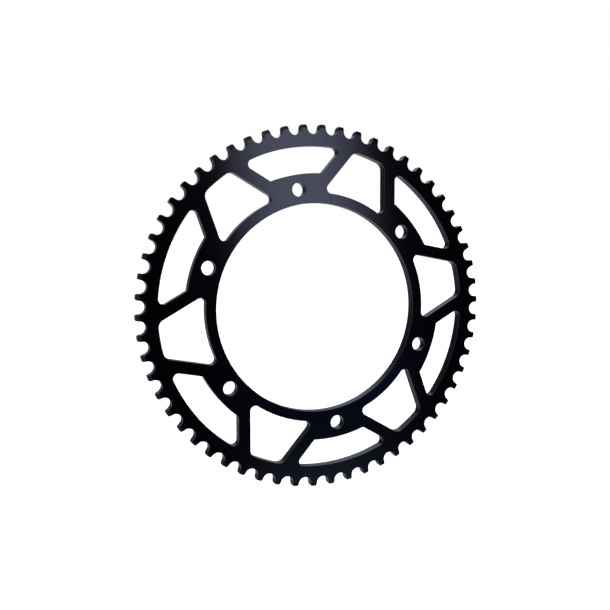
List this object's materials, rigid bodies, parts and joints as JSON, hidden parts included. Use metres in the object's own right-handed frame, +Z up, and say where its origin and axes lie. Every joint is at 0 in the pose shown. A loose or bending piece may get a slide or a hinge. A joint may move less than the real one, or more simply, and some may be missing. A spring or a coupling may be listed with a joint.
{
  "type": "rear chain sprocket",
  "caption": "Flat one-piece rear sprocket: toothed rim with bevelled tips, straight spokes, arc and trapezoid windows, bolt-hole ring and a large hub bore.",
  "frame": {"origin": "centre of the hub bore, halfway through the plate's thickness", "axes": "+Y along the bore's axis, from the outer face to the face that seats on the wheel hub; +Z up, through the centre of the first bolt hole; +X to the right as seen from the outer face"},
  "size_m": [0.239, 0.007, 0.239],
  "materials": {
    "plate": "black anodised satin"
  },
  "bodies": {
    "root": {"sprocket_plate": "plate"}
  },
  "joints": []
}
